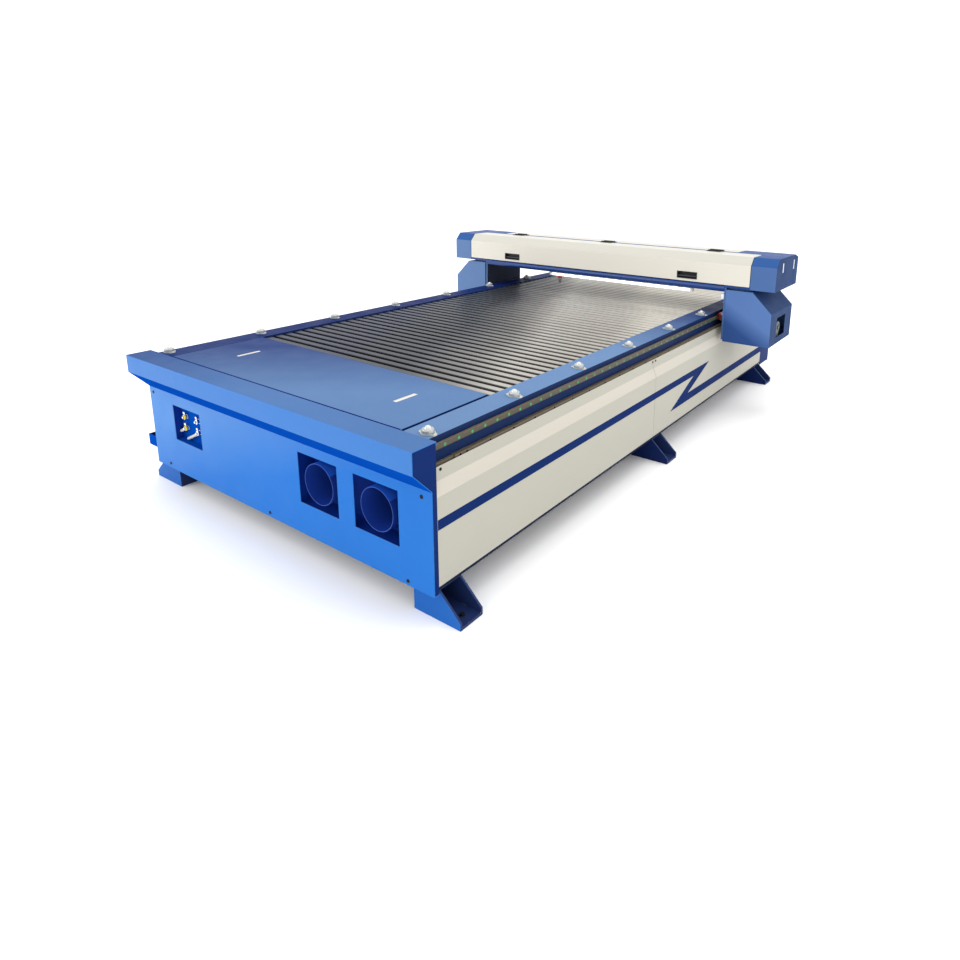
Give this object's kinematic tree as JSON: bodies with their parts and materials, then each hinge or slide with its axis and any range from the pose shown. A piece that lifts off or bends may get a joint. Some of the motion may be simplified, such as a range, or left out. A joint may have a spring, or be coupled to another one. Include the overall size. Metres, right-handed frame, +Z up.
{
  "type": "laser engraving machine",
  "caption": "Flatbed laser engraving machine: slatted table on a long body with feet, and a gantry that travels along it with a laser head.",
  "frame": {"origin": "on the floor, below the middle of the machine's box", "axes": "+Y along the body towards its rear, +X to the right seen from the front end, +Z up"},
  "size_m": [2.142, 3.24, 0.889],
  "materials": {
    "blue_paint": "fine orange-peel enamel, satin",
    "bright_blue_paint": "satin enamel on folded sheet",
    "cream_paint": "cream satin enamel",
    "slat_aluminium": "brushed, dull",
    "tube_steel": "blue frame enamel",
    "galvanised_sheet": "dull sheet steel",
    "guide_steel": "ground steel under an oil film",
    "rack_steel": "dark greased steel",
    "nickel": "bright nickel plate",
    "seal_red": "red moulded seal",
    "black_plastic": "black moulded plastic",
    "motor_grey": "grey motor housing",
    "lamp_glass": "white diffuser tube",
    "tube_glass": "clear glass",
    "belt_rubber": "toothed belt",
    "machined_aluminium": "milled plate",
    "nozzle_red": "red anodised nozzle",
    "coupling_brass": "push fittings with yellow collars",
    "white_plastic": "white moulded plastic"
  },
  "bodies": {
    "base": {"left_side_beam": "blue_paint", "right_side_beam": "blue_paint", "lower_frame_tubes": "tube_steel", "frame_posts": "tube_steel", "bed_cross_beams": "tube_steel", "slat_supports": "tube_steel", "slat_ledges": "tube_steel", "table_slats": "slat_aluminium", "front_cover_plate": "blue_paint", "dust_tub": "galvanised_sheet", "exhaust_ducts": "bright_blue_paint", "duct_box": "bright_blue_paint", "service_box": "bright_blue_paint", "service_couplings": "coupling_brass", "front_end_panel": "bright_blue_paint", "rear_end_panel": "blue_paint", "end_cheeks": "blue_paint", "left_side_panels": "cream_paint", "right_side_panels": "cream_paint", "left_feet": "blue_paint", "right_feet": "blue_paint", "panel_brackets": "tube_steel", "linear_rails": "guide_steel", "racks": "rack_steel", "rack_end_clamps": "rack_steel", "ball_cups": "nickel", "transfer_balls": "nickel", "cable_tray": "blue_paint"},
    "gantry": {"gantry_beam": "tube_steel", "leg_plates": "blue_paint", "left_leg_cover": "blue_paint", "right_leg_cover": "blue_paint", "left_end_cap": "blue_paint", "right_end_cap": "blue_paint", "end_access_panels": "blue_paint", "top_strip": "blue_paint", "hinge_bases": "black_plastic", "lower_lip": "blue_paint", "lamp_batten": "white_plastic", "lamp_tube": "lamp_glass", "head_rail": "guide_steel", "drive_motors": "motor_grey", "laser_tube": "tube_glass", "tube_clamps": "black_plastic", "bearing_blocks": "guide_steel", "bearing_seals": "seal_red", "drive_belt": "belt_rubber", "limit_switch": "white_plastic"},
    "front_lid": {"front_cover": "cream_paint", "cover_handles": "black_plastic", "front_hinge_leaves": "black_plastic"},
    "rear_lid": {"rear_cover": "cream_paint", "rear_hinge_leaves": "black_plastic"},
    "left_drive": {"left_pinion": "rack_steel"},
    "right_drive": {"right_pinion": "rack_steel"},
    "belt_drive_pulley": {"belt_pulley": "machined_aluminium"},
    "belt_idler_pulley": {"belt_idler": "machined_aluminium"},
    "laser_head": {"head_carriage": "machined_aluminium", "lens_holder": "machined_aluminium"},
    "nozzle": {"focus_nozzle": "nozzle_red"}
  },
  "joints": [
    {"name": "gantry_travel", "type": "slide", "parent": "base", "child": "gantry", "axis": [0, 1, 0], "range_m": [-2.13, 0.4]},
    {"name": "front_cover_hinge", "type": "hinge", "parent": "gantry", "child": "front_lid", "pos_m": [0, 0.801, 0.885], "axis": [-1, 0, 0], "range_deg": [0, 95]},
    {"name": "rear_cover_hinge", "type": "hinge", "parent": "gantry", "child": "rear_lid", "pos_m": [0, 0.833, 0.885], "axis": [1, 0, 0], "range_deg": [0, 95]},
    {"name": "left_pinion_turn", "type": "hinge", "parent": "gantry", "child": "left_drive", "pos_m": [-0.76, 0.823, 0.50348], "axis": [1, 0, 0], "range_deg": [-1930, 10190]},
    {"name": "right_pinion_turn", "type": "hinge", "parent": "gantry", "child": "right_drive", "pos_m": [0.76, 0.823, 0.50348], "axis": [1, 0, 0], "range_deg": [-1930, 10190]},
    {"name": "head_travel", "type": "slide", "parent": "gantry", "child": "laser_head", "axis": [1, 0, 0], "range_m": [-0.364, 0.936]},
    {"name": "focus_slide", "type": "slide", "parent": "laser_head", "child": "nozzle", "axis": [0, 0, 1], "range_m": [-0.02, 0.02]},
    {"name": "belt_pulley_turn", "type": "hinge", "parent": "gantry", "child": "belt_drive_pulley", "pos_m": [0.85, 0.764, 0.76], "axis": [0, 1, 0], "range_deg": [-3361, 1319]},
    {"name": "belt_idler_turn", "type": "hinge", "parent": "gantry", "child": "belt_idler_pulley", "pos_m": [-0.85, 0.764, 0.76], "axis": [0, 1, 0], "range_deg": [-3361, 1319]}
  ],
  "couplings": [
    {"joint": "left_pinion_turn", "follows": "gantry_travel", "rad_per_m": -83.333},
    {"joint": "right_pinion_turn", "follows": "gantry_travel", "rad_per_m": -83.333},
    {"joint": "belt_pulley_turn", "follows": "head_travel", "rad_per_m": -62.305},
    {"joint": "belt_idler_turn", "follows": "head_travel", "rad_per_m": -62.305}
  ]
}
